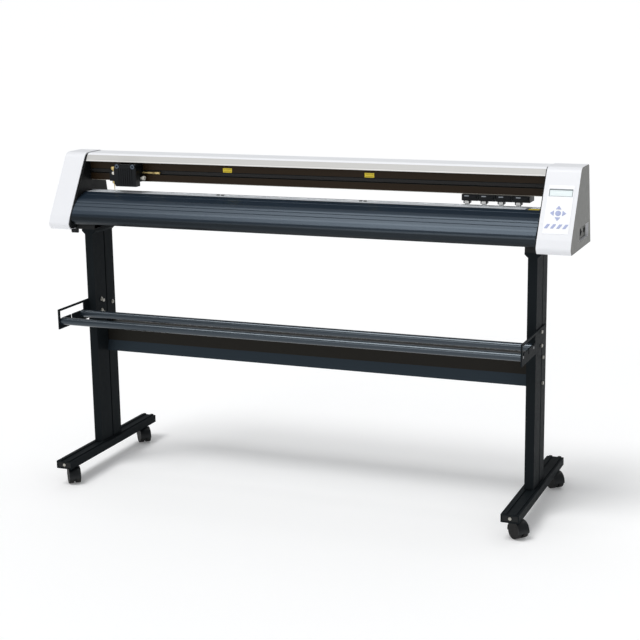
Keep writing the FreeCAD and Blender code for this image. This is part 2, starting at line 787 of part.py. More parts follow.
def make_platen():
    """The hollow media bed: flat deck, rounded apron, trough for the drive roller, grooves."""
    body = new_body("platen")
    section = [("platen_deck_front", "platen_deck"), ("trough_front", "platen_deck"),
               ("trough_front", "trough_floor"), ("trough_back", "trough_floor"),
               ("trough_back", "platen_deck - 2"), ("platen_back_top", "platen_back_level"),
               ("platen_back", "platen_floor"), ("platen_nose + 9", "platen_floor"),
               ("platen_nose", "platen_floor + 11"), ("platen_nose + 2", "platen_floor + 28"),
               ("platen_cheek", "platen_cheek_level"), ("platen_brow", "platen_brow_level")]
    feature = pad(body, outline(body, "YZ_Plane", section, "inner_left"), "inner_span")
    rounds = ((section[0], 26), (section[11], 34), (section[10], 30), (section[9], 24), (section[8], 9),
              (section[7], 7), (section[5], 8))
    for corner, radius in rounds:
        feature = fillet(body, feature, ALONG_X, [section_place(*corner)], radius)
    ends = [facing(ALONG_X, number("inner_left")), facing(ALONG_X, number("inner_right"))]
    hollow(body, feature, lambda face: any(test(face) for test in ends), "section_wall")
    lines = [("platen_brow - 10", "platen_brow_level - 10"), ("platen_brow - 19", "platen_brow_level - 19"),
             ("platen_brow + 4", "platen_brow_level - 0.5"), ("platen_deck_front - 14", "platen_deck - 5")]
    grooves = [(y, z, "1.3") for y, z in lines]
    pocket(body, circles(body, "YZ_Plane", grooves, "inner_left"), "inner_span")
    keep(body, "platen")


def make_rail():
    """The extruded carriage rail, with the belt groove in front and a dovetail slot below."""
    body = new_body("carriage_rail")
    near = "dovetail_place - dovetail_width / 2"
    far = "dovetail_place + dovetail_width / 2"
    section = [("rail_front", "rail_floor"), (near, "rail_floor"), (near, "rail_floor + dovetail_depth"),
               (far, "rail_floor + dovetail_depth"), (far, "rail_floor"), ("rail_back", "rail_floor"),
               ("rail_back", "rail_top"), ("rail_front", "rail_top"), ("rail_front", "groove_top"),
               ("rail_front + groove_depth", "groove_top"), ("rail_front + groove_depth", "groove_floor"),
               ("rail_front", "groove_floor")]
    pad(body, outline(body, "YZ_Plane", section, "inner_left"), "inner_span")
    front = "rail_front + groove_depth + rail_wall"
    floor = "rail_floor + dovetail_depth + rail_wall"
    room = rectangle(front, floor, f"rail_back - rail_wall - {front}", f"rail_top - rail_wall - {floor}")
    pocket(body, outline(body, "YZ_Plane", room, "inner_left"), "inner_span")
    keep(body, "carriage_rail")


def make_top_cover():
    """The folded cover over the rail: front strip, top and back."""
    body = new_body("top_cover")
    wall = "carriage_cover_wall"
    top = "head_top - 2"
    lean = "(head_back - head_back_top) / (head_top - cover_floor)"
    back_low = f"head_back_top + {lean} * 80 - 2"
    section = [("strip_foot", "strip_foot_level"), ("strip_brow", "strip_brow_level"), ("strip_top", top),
               ("head_back_top - 5", top), (back_low, "head_top - 82"),
               (f"{back_low} - {wall}", "head_top - 82"), (f"head_back_top - 5 - {wall}", f"{top} - {wall}"),
               ("strip_top + 1", f"{top} - {wall}"), ("strip_brow + 2.3", "strip_brow_level - 1"),
               ("strip_foot + 2.7", "strip_foot_level")]
    feature = pad(body, outline(body, "YZ_Plane", section, "inner_left"), "inner_span")
    fillet(body, feature, ALONG_X, [section_place("strip_top", top)], 7)
    keep(body, "top_cover")


# ---------------------------------------------------------------- drives


def loop_band(centre_a, radius_a, centre_b, radius_b, normal, height, thickness):
    """A belt around two pulleys: the space between two rings of tangent lines and arcs."""
    def ring(extra):
        ra, rb = radius_a + extra, radius_b + extra
        axis = (centre_b - centre_a).normalize()
        side = normal.cross(axis)
        lean = math.asin((ra - rb) / (centre_b - centre_a).Length)
        faces = []
        for centre, radius in ((centre_a, ra), (centre_b, rb)):
            faces.append(Part.Face(Part.Wire(Part.makeCircle(radius, centre, normal))))
        upper = axis * math.sin(lean) + side * math.cos(lean)
        lower = axis * math.sin(lean) - side * math.cos(lean)
        corners = [centre_a + upper * ra, centre_b + upper * rb, centre_b + lower * rb, centre_a + lower * ra]
        faces.append(Part.Face(Part.makePolygon(corners + corners[:1])))
        prisms = [face.extrude(normal * height) for face in faces]
        return prisms[0].fuse(prisms[1:]).removeSplitter()
    return ring(thickness).cut(ring(0))


def make_belt(name, centre_a, radius_a, centre_b, radius_b, normal, height):
    belt = DOC.addObject("Part::Feature", name)
    belt.Shape = loop_band(centre_a, radius_a, centre_b, radius_b, normal, height, number("belt_thickness"))
    belt.Placement = FreeCAD.Placement()
    keep(belt, name)


def make_drive_roller():
    """The long grit roller with a journal at each end."""
    barrel = rod("drive_barrel", "X", "inner_left + running_gap", "drive_roller_place", "drive_roller_level",
                 "drive_roller_radius", "inner_span - 2 * running_gap")
    shaft = rod("drive_shaft", "X", "left_face - 6", "drive_roller_place", "drive_roller_level",
                "drive_journal", "pulley_x + 14 - left_face + 6")
    keep(fuse("drive_roller", [barrel, shaft]), "drive_roller")


def make_roller_supports():
    """Two saddles that carry the middle of the drive roller in the trough."""
    saddles = []
    for name, place in (("first_saddle", "first_support"), ("second_saddle", "second_support")):
        block = box(name + "_block", f"{place} - support_length / 2", "trough_front", "trough_floor",
                    "support_length", "trough_back - trough_front", "drive_roller_level - trough_floor")
        seat = rod(name + "_seat", "X", f"{place} - support_length", "drive_roller_place",
                   "drive_roller_level", "drive_roller_radius + shaft_gap", "2 * support_length")
        saddles.append(cut(name, block, [seat]))
    keep(group("roller_supports", saddles), "roller_supports")


def make_roller_pulley():
    wheel = rod("roller_pulley_wheel", "X", "pulley_x + 1", "drive_roller_place", "drive_roller_level",
                "roller_pulley_radius", "feed_belt_width + 2")
    flange = rod("roller_pulley_flange", "X", "pulley_x", "drive_roller_place", "drive_roller_level",
                 "roller_pulley_radius + 2.5", "1")
    bore = rod("roller_pulley_bore", "X", "pulley_x - 1", "drive_roller_place", "drive_roller_level",
               "drive_journal", "20")
    keep(cut("roller_pulley", fuse("roller_pulley_blank", [wheel, flange]), [bore]), "roller_pulley")


def make_feed_drive():
    """Stepper motor, its pulley and the belt that turn the drive roller."""
    half = "feed_motor_side / 2"
    case = box("feed_motor_case", "motor_plate_x", f"feed_motor_place - {half}", f"feed_motor_level - {half}",
               "feed_motor_length", "feed_motor_side", "feed_motor_side")
    keep(case, "feed_motor")
    hub = rod("feed_pulley_wheel", "X", "pulley_x + 1", "feed_motor_place", "feed_motor_level",
              "motor_pulley_radius", "feed_belt_width + 2")
    flange = rod("feed_pulley_flange", "X", "pulley_x", "feed_motor_place", "feed_motor_level",
                 "motor_pulley_radius + 2", "1")
    shaft = rod("feed_motor_shaft", "X", "pulley_x + 1", "feed_motor_place", "feed_motor_level", "3.2",
                "motor_plate_x - pulley_x - 1.3")
    keep(fuse("feed_motor_pulley", [hub, flange, shaft]), "feed_motor_pulley")
    x = number("pulley_x + 2")
    gap = number("running_gap")
    make_belt("feed_belt", Vector(x, number("drive_roller_place"), number("drive_roller_level")),
              number("roller_pulley_radius") + gap,
              Vector(x, number("feed_motor_place"), number("feed_motor_level")),
              number("motor_pulley_radius") + gap, ALONG_X, number("feed_belt_width"))


def make_belt_pulley(name, x, shaft_floor):
    """A flanged belt pulley with an upright shaft."""
    wheel = rod(name + "_wheel", "Z", x, "pulley_axis_place", "groove_floor", "belt_pulley_radius",
                "groove_height")
    flanges = [rod(f"{name}_{side}", "Z", x, "pulley_axis_place", level, "belt_pulley_radius + 2.5", "1")
               for side, level in (("lower", "groove_floor"), ("upper", "groove_top - 1"))]
    shaft = rod(name + "_shaft", "Z", x, "pulley_axis_place", shaft_floor, "2.5",
                f"groove_top + 3 - ({shaft_floor})")
    keep(fuse(name, [wheel, shaft] + flanges), name)


def make_carriage_drive():
    half = "carriage_motor_side / 2"
    case = box("carriage_motor", f"drive_pulley_x - {half}", f"pulley_axis_place - {half}",
               "tab_top - tab_thickness - carriage_motor_height", "carriage_motor_side",
               "carriage_motor_side", "carriage_motor_height")
    keep(case, "carriage_motor")
    make_belt_pulley("carriage_drive_pulley", "drive_pulley_x", "tab_top - tab_thickness + running_gap")
    make_belt_pulley("idler_pulley", "idler_x", "tab_top - tab_thickness - 4")
    level = number("belt_level")
    place = number("pulley_axis_place")
    radius = number("belt_pulley_radius + running_gap")
    make_belt("carriage_belt", Vector(number("idler_x"), place, level), radius,
              Vector(number("drive_pulley_x"), place, level), radius, ALONG_Z, number("belt_height"))


# ---------------------------------------------------------------- carriage and pinch rollers


def make_carriage():
    """The carriage block with its guide lug and blade arm, its ribbed cover and the blade holder."""
    wall = "carriage_cover_wall"
    block_front = f"carriage_front + {wall}"
    inner = f"carriage_width - 2 * {wall}"
    upper = box("carriage_upper", f"carriage_left + {wall}", block_front, "rail_floor + 1", inner,
                f"rail_front - running_gap - ({block_front})", f"carriage_top - {wall} - rail_floor - 1")
    lower = box("carriage_lower", f"carriage_left + {wall}", block_front, "carriage_floor", inner,
                f"carriage_chin - ({block_front})", "rail_floor + 2 - carriage_floor")
    lug = box("carriage_lug", "carriage_centre - 20", "rail_front - 2", "groove_floor + running_gap", "40",
              "5.2", "groove_height - 2 * running_gap")
    arm = box("blade_arm", "blade_x - blade_radius - 4", "blade_place - 10", "blade_floor + 8",
              "0 - blade_offset - carriage_width / 2 + blade_radius + 4 + 6", "20", "30")
    bore = rod("blade_bore", "Z", "blade_x", "blade_place", "carriage_floor - 10",
               "blade_radius + shaft_gap", "100")
    keep(cut("carriage_body", fuse("carriage_block", [upper, lower, lug, arm]), [bore]), "carriage_body")
    make_carriage_cover(wall)
    shank = rod("blade_shank", "Z", "blade_x", "blade_place", "blade_floor", "blade_radius",
                "blade_top - blade_floor")
    cone = bind(DOC.addObject("Part::Cone", "blade_tip"), x="blade_x", y="blade_place", z="blade_tip_level",
                Radius1=0.4, Radius2=2, Height="blade_floor - blade_tip_level")
    collar = rod("blade_collar", "Z", "blade_x", "blade_place", "blade_top - 8", "blade_radius + 2", "6")
    keep(fuse("blade_holder", [shank, cone, collar]), "blade_holder")


def make_carriage_cover(wall):
    """A front shell with upright ribs, two eared screw lugs and a clipped lower corner."""
    body = new_body("carriage_cover")
    front = [("carriage_left + 8", "carriage_floor"), ("carriage_right", "carriage_floor"),
             ("carriage_right", "carriage_top - 14"), ("carriage_right - 6", "carriage_top"),
             ("carriage_right - 18", "carriage_top"), ("carriage_right - 22", "carriage_top - 5"),
             ("carriage_left + 22", "carriage_top - 5"), ("carriage_left + 18", "carriage_top"),
             ("carriage_left + 6", "carriage_top"), ("carriage_left", "carriage_top - 14"),
             ("carriage_left", "carriage_floor + 8")]
    pad(body, outline(body, "XZ_Plane", front, f"0 - carriage_front - {wall}"), wall)
    screws = [(f"{side} 11", "carriage_top - 8", "2.6") for side in ("carriage_left +", "carriage_right -")]
    pocket(body, circles(body, "XZ_Plane", screws, f"0 - carriage_front - {wall}"), wall)
    rib = outline(body, "XZ_Plane", rectangle("carriage_left + 14", "carriage_floor + 6", "2.5", "50"),
                  "0 - carriage_front")
    for index in range(1, int(number("cover_ribs"))):
        add_outline(rib, rectangle(f"carriage_left + 14 + {index} * 7.4", "carriage_floor + 6", "2.5", "50"))
    pad(body, rib, "1.5")
    sides = outline(body, "YZ_Plane", rectangle(f"carriage_front + {wall}", "carriage_floor + 10",
                                                f"blade_place - 10 - running_gap - carriage_front - {wall}",
                                                "44"), "carriage_left")
    pad(body, sides, wall)
    cheek = outline(body, "YZ_Plane", rectangle(f"carriage_front + {wall}", "carriage_floor",
                                                "carriage_cover_depth", "54"), f"carriage_right - {wall}")
    pad(body, cheek, wall)
    keep(body, "carriage_cover")


def make_pinch_unit(index):
    """One pinch roller unit: the sliding block with its fork, and the wheel on its axle."""
    name = f"pinch_arm_{index + 1}"
    left = f"pinch_first + {index} * pinch_pitch"
    block = box(name + "_block", left, "pinch_block_front", "pinch_block_floor + 4", "pinch_block_width",
                "pinch_block_back - pinch_block_front", "rail_floor - running_gap - pinch_block_floor - 4")
    key = box(name + "_key", left, "dovetail_place - dovetail_width / 2 + running_gap",
              "rail_floor - 1", "pinch_block_width", "dovetail_width - 2 * running_gap",
              "dovetail_depth + 1 - running_gap")
    centre = f"{left} + pinch_wheel_offset"
    half = "pinch_wheel_width / 2 + running_gap"
    room = box(name + "_room", f"{centre} - ({half})", "drive_roller_place - pinch_wheel_radius - 1.5",
               "pinch_block_floor - 20", f"2 * ({half})", "2 * pinch_wheel_radius + 3",
               "pinch_wheel_level + pinch_wheel_radius + 1 - pinch_block_floor + 20")
    cheeks = [box(f"{name}_cheek_{side}", x, "drive_roller_place - 7", "pinch_wheel_level - 4", "3", "16",
                  "rail_floor - pinch_wheel_level - 4")
              for side, x in (("a", f"{centre} - ({half}) - 3"), ("b", f"{centre} + {half}"))]
    hole = rod(name + "_hole", "X", f"{centre} - 12", "drive_roller_place", "pinch_wheel_level",
               "1.5 + shaft_gap", "24")
    keep(cut(name, fuse(name + "_blank", [block, key] + cheeks), [room, hole]), name)
    wheel_name = f"pinch_wheel_{index + 1}"
    wheel = rod(wheel_name + "_tyre", "X", f"{centre} - pinch_wheel_width / 2", "drive_roller_place",
                "pinch_wheel_level", "pinch_wheel_radius", "pinch_wheel_width")
    axle = rod(wheel_name + "_axle", "X", f"{centre} - 9.3", "drive_roller_place", "pinch_wheel_level",
               "1.5", "18.6")
    keep(fuse(wheel_name, [wheel, axle]), wheel_name)


# ---------------------------------------------------------------- control panel and electronics

NAVIGATION_KEYS = {"up": (0, 1), "left": (-1, 0), "enter": (0, 0), "right": (1, 0), "down": (0, -1)}
FUNCTION_KEYS = 4
ARROW = [(-1, -0.62), (1, -0.62), (0, 0.72)]
SLANTED = [(-1, -0.8), (0.05, -0.8), (1, 0.8), (-0.05, 0.8)]


def key_outlines():
    """Every key's name, its centre on the slope as expressions, and its outline about that centre."""
    keys = []
    for name, (across, up) in NAVIGATION_KEYS.items():
        centre = (f"panel_centre + {across} * key_spread", f"key_centre + {up} * key_spread")
        if name == "enter":
            keys.append(("key_enter", centre, None))
            continue
        turn = math.atan2(up, across) - math.pi / 2
        shape = [(x * math.cos(turn) - y * math.sin(turn), x * math.sin(turn) + y * math.cos(turn))
                 for x, y in ARROW]
        keys.append(("key_" + name, centre, shape))
    for index in range(FUNCTION_KEYS):
        across = f"panel_centre + {index - (FUNCTION_KEYS - 1) / 2} * key_pitch"
        keys.append((f"key_function_{index + 1}", (across, "key_row"), SLANTED))
    return keys


def key_prism(name, centre, shape, grow, out, height):
    """A key's outline, grown by a clearance, as a prism on the slope."""
    if shape is None:
        disc = bind(DOC.addObject("Part::Cylinder", name), Radius=f"key_size + {grow}", Height=height)
        return to_slope(disc, centre[0], centre[1], out)
    body = new_body(name)
    scale = f"(key_size + {grow} * 1.6)"
    corners = [(f"{x:.6f} * {scale}", f"{y:.6f} * {scale}") for x, y in shape]
    pad(body, outline(body, "XY_Plane", corners), height)
    return to_slope(body, centre[0], centre[1], out)


def make_control_panel():
    """The overlay plate with its display window and key openings, the display board and the keys."""
    plate = on_slope("panel_plate", "panel_centre - panel_width / 2", "panel_bottom", "0", "panel_width",
                     "panel_top - panel_bottom", "panel_thickness")
    window = on_slope("panel_window", "panel_centre - display_width / 2", "display_bottom", "0 - 1",
                      "display_width", "display_top - display_bottom", "panel_thickness + 2")
    openings = [window]
    for name, centre, shape in key_outlines():
        openings.append(key_prism(name + "_opening", centre, shape, "running_gap", "0 - 1",
                                  "panel_thickness + 2"))
        depth = "board_depth - key_travel - 0.2 - panel_thickness"
        key = key_prism(name + "_body", centre, shape, "0", f"0 - ({depth})",
                        f"{depth} + panel_thickness + key_rise")
        keep(key, name)
    keep(cut("control_panel", plate, openings), "control_panel")
    board = on_slope("display_board", "panel_centre - panel_width / 2 + panel_rim + 1",
                     "panel_bottom + panel_rim + 1", "panel_thickness - board_depth - board_thickness",
                     "panel_width - 2 * panel_rim - 2", "panel_top - panel_bottom - 2 * panel_rim - 2",
                     "board_thickness")
    glass = on_slope("display_glass", "panel_centre - display_width / 2 + 0.5 - 1", "display_bottom - 1",
                     "panel_thickness - board_depth", "display_width + 1",
                     "display_top - display_bottom + 2", "board_depth - panel_thickness")
    keep(fuse("display_module", [board, glass]), "display_module")


def make_main_board():
    """The controller board with its larger components, on four standoffs from the side plate."""
    floor = "right_face"
    deck = f"{floor} + standoff"
    long = "main_board_back - main_board_front"
    tall = "main_board_top - main_board_floor"
    pieces = [box("board_plate", deck, "main_board_front", "main_board_floor", "board_thickness", long, tall)]
    for index, (y, z) in enumerate([(y, z) for y in ("main_board_front + 6", "main_board_back - 6")
                                    for z in ("main_board_floor + 6", "main_board_top - 6")]):
        pieces.append(rod(f"standoff_{index}", "X", floor, y, z, "3", "standoff"))
    parts = (("heat_sink", 8, 6, 26, 34, 16), ("capacitor_block", 42, 8, 14, 20, 22),
             ("processor", 44, 38, 22, 22, 3), ("connector_row", 8, 58, 50, 8, 9))
    for name, y, z, wide, high, deep in parts:
        pieces.append(box(name, f"{deck} + board_thickness", f"main_board_front + {y}",
                          f"main_board_floor + {z}", deep, wide, high))
    keep(fuse("main_board", pieces), "main_board")


def make_power_entry():
    """The mains inlet and the data port in the side recess, and the rocker switch."""
    flange = "2"
    socket = box("inlet_case", "recess_inside - inlet_depth + cover_wall", "inlet_front", INLET_FLOOR,
                 "inlet_depth", "inlet_width", "inlet_height")
    rim = box("inlet_rim", "recess_wall", "inlet_front - 2", f"{INLET_FLOOR} - 2", flange,
              "inlet_width + 4", "inlet_height + 4")
    mouth = box("inlet_mouth", "recess_wall - 14", "inlet_front + 3", f"{INLET_FLOOR} + 3", "20",
                "inlet_width - 6", "inlet_height - 6")
    pins = [box(f"inlet_pin_{index}", "recess_wall - 14", f"inlet_front + inlet_width / 2 + {y}",
                f"{RECESS_MIDDLE} + {z}", "11", "2", "4")
            for index, (y, z) in enumerate(((-8, -2), (-1, 1), (6, -2)))]
    inlet = fuse("inlet_socket", [cut("inlet_shell", fuse("inlet_blank", [socket, rim]), [mouth])] + pins)
    port_case = box("port_case", "recess_inside - 8", "port_front", PORT_FLOOR, "cover_wall + 9",
                    "port_width", "port_height")
    port_mouth = box("port_mouth", "recess_wall - 4", "port_front + 2", f"{PORT_FLOOR} + 2", "20",
                     "port_width - 4", "port_height - 4")
    port = cut("port_socket", port_case, [port_mouth])
    bezel = cut("switch_bezel", box("switch_case", "recess_inside - 10", "switch_front", SWITCH_FLOOR,
                                    "cover_wall + 11", "switch_width", "switch_height"),
                [box("switch_room", "recess_inside - 8.5", "switch_front + 1.5", f"{SWITCH_FLOOR} + 1.5",
                     "30", "switch_width - 3", "switch_height - 3")])
    keep(group("rear_sockets", [inlet, port, bezel]), "rear_sockets")
    key = rod("rocker_drum", "Y", "recess_wall - 1", "switch_front + 1.5 + running_gap", RECESS_MIDDLE, "5",
              "switch_width - 3 - 2 * running_gap")
    paddle = box("rocker_paddle", "recess_wall - 2", "switch_front + 1.5 + running_gap",
                 f"{RECESS_MIDDLE} - 6.6", "4", "switch_width - 3 - 2 * running_gap", "13.2")
    keep(fuse("power_switch", [key, paddle]), "power_switch")


def make_head():
    make_left_side_plate()
    make_right_side_plate()
    make_platen()
    make_rail()
    make_top_cover()
    make_end_cover("left_end_cover", "0 - half_width", "left_cover_width", "left_face", False)
    make_end_cover("right_end_cover", "right_face", "right_cover_width", "right_face", True)
    make_drive_roller()
    make_roller_supports()
    make_roller_pulley()
    make_feed_drive()
    make_carriage_drive()
    make_carriage()
    for index in range(4):
        make_pinch_unit(index)
    make_control_panel()
    make_main_board()
    make_power_entry()


# ---------------------------------------------------------------- build, check and write


def check():
    """Stops at any object that failed to compute or any sub-part without a sound shape."""
    DOC.recompute()
    for thing in DOC.Objects:
        if any(mark in thing.State for mark in ("Invalid", "Error")):
            raise ValueError(thing.Name + " did not compute")
    for thing in PARTS:
        if thing.Shape.isNull() or not thing.Shape.isValid():
            raise ValueError(thing.Label + " has no sound shape")


def write():
    os.makedirs("parts", exist_ok=True)
    for thing in PARTS:
        thing.Shape.exportStep(f"parts/{thing.Label}.step")
        spread = thing.Shape.BoundBox
        print(f"{thing.Label:28s} {len(thing.Shape.Solids)} solids {thing.Shape.Volume / 1000:9.1f} cm3",
              f"x {spread.XMin:.1f} {spread.XMax:.1f} y {spread.YMin:.1f} {spread.YMax:.1f}",
              f"z {spread.ZMin:.1f} {spread.ZMax:.1f}")


make_stand()
make_head()
check()
write()
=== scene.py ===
import math

import bmesh
import bpy
from mathutils import Matrix, Vector


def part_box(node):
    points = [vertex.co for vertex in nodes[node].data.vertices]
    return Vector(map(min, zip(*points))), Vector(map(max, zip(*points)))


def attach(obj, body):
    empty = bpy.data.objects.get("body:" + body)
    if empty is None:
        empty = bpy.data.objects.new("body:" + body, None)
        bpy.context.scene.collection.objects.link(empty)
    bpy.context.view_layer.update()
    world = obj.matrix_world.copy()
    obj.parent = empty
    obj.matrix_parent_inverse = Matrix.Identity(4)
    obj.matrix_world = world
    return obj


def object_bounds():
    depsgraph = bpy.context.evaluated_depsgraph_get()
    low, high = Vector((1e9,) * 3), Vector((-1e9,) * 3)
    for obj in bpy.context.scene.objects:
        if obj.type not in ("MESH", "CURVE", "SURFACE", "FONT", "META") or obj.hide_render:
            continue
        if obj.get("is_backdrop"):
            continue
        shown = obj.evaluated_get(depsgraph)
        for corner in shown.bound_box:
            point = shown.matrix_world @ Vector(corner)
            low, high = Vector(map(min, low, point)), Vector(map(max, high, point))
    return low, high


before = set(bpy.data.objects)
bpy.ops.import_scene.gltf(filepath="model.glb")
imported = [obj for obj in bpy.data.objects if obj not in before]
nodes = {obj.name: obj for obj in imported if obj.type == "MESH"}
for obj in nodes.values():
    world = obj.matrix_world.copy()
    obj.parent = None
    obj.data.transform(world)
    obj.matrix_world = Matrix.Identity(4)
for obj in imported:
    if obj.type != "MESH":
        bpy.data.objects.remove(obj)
cad_low, cad_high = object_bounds()

# ---- Camera. It stands to the right of the cutter and a little above its head, with a long lens,
# ---- and leans by less than a degree.

yaw, pitch, roll = math.radians(22.07), math.radians(12.664), math.radians(-0.861)
forward = Vector((-math.sin(yaw) * math.cos(pitch), math.cos(yaw) * math.cos(pitch), -math.sin(pitch)))
level = Vector((math.cos(yaw), math.sin(yaw), 0))
across = math.cos(roll) * level + math.sin(roll) * level.cross(forward)
camera = bpy.data.objects.new("camera", bpy.data.cameras.new("camera"))
camera.matrix_world = Matrix((across, across.cross(forward), -forward)).transposed().to_4x4()
camera.location = (1.6207, -3.8928, 1.4500)
camera.data.lens = 82.66
camera.data.clip_end = 3000
bpy.context.scene.collection.objects.link(camera)
bpy.context.scene.camera = camera

# ---- Feet. Two long hollow black bars with raised ribs, sawn from extruded section and powder
# ---- coated. A moulded plug closes each end and is held by one plated screw.


class Shade:
    """An output socket of a material, which adds, multiplies and mixes like a number."""

    def __init__(self, tree, socket=None):
        self.tree = tree
        self.socket = socket

    def node(self, kind, settings, sockets, output=0):
        """Adds a node: first its settings, then its sockets' values or links."""
        made = self.tree.nodes.new(kind)
        for name, value in settings.items():
            setattr(made, name, value)
        for name, value in sockets.items():
            if isinstance(value, Shade):
                self.tree.links.new(value.socket, made.inputs[name])
            else:
                made.inputs[name].default_value = value
        return Shade(self.tree, made.outputs[output] if made.outputs else None)

    def math(self, operation, *values):
        return self.node("ShaderNodeMath", {"operation": operation}, dict(enumerate(values)))

    def __add__(self, other):
        return self.math("ADD", self, other)

    def __sub__(self, other):
        return self.math("SUBTRACT", self, other)

    def __rsub__(self, other):
        return self.math("SUBTRACT", other, self)

    def __mul__(self, other):
        return self.math("MULTIPLY", self, other)

    def __gt__(self, other):
        return self.math("GREATER_THAN", self, other)

    def __lt__(self, other):
        return self.math("LESS_THAN", self, other)

    def __abs__(self):
        return self.math("ABSOLUTE", self)

    __radd__ = __add__
    __rmul__ = __mul__

    def fraction(self):
        """What is left of the value above the next whole number below it."""
        return self.math("FRACT", self)

    def within(self, low, high):
        """1 where the value lies between low and high, and 0 elsewhere."""
        return (self > low) * (self < high)

    def place(self, axis=None):
        """Where a point lies in the frame, in metres, or one coordinate of that."""
        point = self.node("ShaderNodeTexCoord", {}, {}, output=3)
        if axis is None:
            return point
        return self.node("ShaderNodeSeparateXYZ", {}, {0: point}, "XYZ".index(axis))

    def noise(self, scale, detail=3.0, stretch=(1, 1, 1)):
        """Noise with so many grains in a metre, drawn out along an axis by a small stretch."""
        point = self.node("ShaderNodeMapping", {}, {0: self.place(), "Scale": stretch})
        return self.node("ShaderNodeTexNoise", {}, {"Vector": point, "Scale": scale, "Detail": detail})

    def blend(self, first, second):
        """Mixes two colours by this mask."""
        return self.node("ShaderNodeMix", {"data_type": "RGBA"}, {0: self, 6: first, 7: second}, output=2)

    def bump(self, distance, strength=1.0):
        """Turns a height into a surface normal."""
        return self.node("ShaderNodeBump", {}, {"Height": self, "Distance": distance, "Strength": strength})


def finish(name, recipe, **settled):
    """A material: the recipe gives the sockets that vary, the rest have one value each."""
    material = bpy.data.materials.new(name)
    material.use_nodes = True
    material.node_tree.nodes.clear()
    shade = Shade(material.node_tree)
    sockets = {key.replace("_", " "): value for key, value in settled.items()}
    sockets.update(recipe(shade))
    surface = shade.node("ShaderNodeBsdfPrincipled", {}, sockets)
    shade.node("ShaderNodeOutputMaterial", {}, {0: surface})
    return material


def tint(code):
    """The linear colour for six hexadecimal digits."""
    parts = [int(code[i:i + 2], 16) / 255 for i in (0, 2, 4)]
    return tuple(p / 12.92 if p <= 0.04045 else ((p + 0.055) / 1.055) ** 2.4 for p in parts) + (1.0,)


def coat(material, *names):
    """Gives CAD nodes a material."""
    for name in names:
        for held in nodes[name].material_slots:
            held.material = material


def black_powder_coat(shade):
    patches = shade.noise(9, 2)
    return {
        "Base Color": patches.blend(tint("171B1E"), tint("1D2123")),
        "Roughness": 0.42 + 0.16 * shade.noise(60, 3),
        "Normal": shade.noise(1100, 2).bump(0.0004, 0.5),
    }


stand_paint = finish("stand_paint", black_powder_coat, Specular_IOR_Level=0.02)
coat(stand_paint, "left_foot", "right_foot")


def shape(name, body, material, smooth=35):
    """Makes the bmesh's object, rides it on its body and gives it its finish."""
    def made(mesh):
        data = bpy.data.meshes.new(name)
        bmesh.ops.recalc_face_normals(mesh, faces=mesh.faces)
        mesh.to_mesh(data)
        mesh.free()
        for face in data.polygons:
            face.use_smooth = True
        data.set_sharp_from_angle(angle=math.radians(smooth))
        piece = bpy.data.objects.new(name, data)
        bpy.context.scene.collection.objects.link(piece)
        data.materials.append(material)
        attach(piece, body)
        return piece
    return made


def turned(make, start, along, profile, count=40):
    """A turned piece: profile gives distances along the axis from start, and radii."""
    mesh = bmesh.new()
    along = Vector(along).normalized()
    side = along.orthogonal().normalized()
    other = along.cross(side)
    turns = [2 * math.pi * k / count for k in range(count)]
    spokes = [math.cos(turn) * side + math.sin(turn) * other for turn in turns]
    rings = []
    for run, radius in profile:
        centre = Vector(start) + along * run
        reached = spokes if radius else spokes[:1]
        rings.append([mesh.verts.new(centre + radius * spoke) for spoke in reached])
    for ring, after in zip(rings, rings[1:]):
        for k in range(count):
            corners = [ring[k % len(ring)], ring[(k + 1) % len(ring)]]
            corners += [after[(k + 1) % len(after)], after[k % len(after)]]
            corners = list(dict.fromkeys(corners))
            if len(corners) > 2:
                mesh.faces.new(corners)
    return make(mesh)


def slab(make, outline, low, high, put, edge=0.0, steps=2):
    """A plate of the outline (u, v) from level low to high; put turns u, v, level into a point."""
    mesh = bmesh.new()
    floor = [mesh.verts.new(put(u, v, low)) for u, v in outline]
    roof = [mesh.verts.new(put(u, v, high)) for u, v in outline]
    mesh.faces.new(floor[::-1])
    mesh.faces.new(roof)
    for k in range(len(outline)):
        after = (k + 1) % len(outline)
        mesh.faces.new((floor[k], floor[after], roof[after], roof[k]))
    if edge:
        bmesh.ops.bevel(mesh, geom=list(mesh.edges), offset=edge, segments=steps, affect="EDGES",
                        profile=0.6, clamp_overlap=True)
    return make(mesh)


def rounded(u, v, wide, tall, corner, steps=5):
    """A rectangle's outline about its centre u, v, with round corners."""
    points = []
    for quarter, (a, b) in enumerate(((1, 1), (-1, 1), (-1, -1), (1, -1))):
        for k in range(steps + 1):
            turn = math.pi / 2 * (quarter + k / steps)
            points.append((u + a * (wide / 2 - corner) + corner * math.cos(turn),
                           v + b * (tall / 2 - corner) + corner * math.sin(turn)))
    return points


def facing_y(u, v, level):
    return u, level, v


def facing_z(u, v, level):
    return u, v, level


def zinc_plate(shade):
    return {
        "Base Color": shade.noise(400, 2).blend(tint("8E8C84"), tint("C2C0B8")),
        "Roughness": 0.28 + 0.2 * shade.noise(900, 2),
        "Normal": shade.noise(2500, 2).bump(0.0002, 0.4),
    }


def plug_plastic(shade):
    return {
        "Base Color": shade.noise(30, 2).blend(tint("121415"), tint("1C1E1F")),
        "Roughness": 0.5 + 0.15 * shade.noise(200, 2),
        "Normal": shade.noise(1600, 2).bump(0.0003, 0.6),
    }


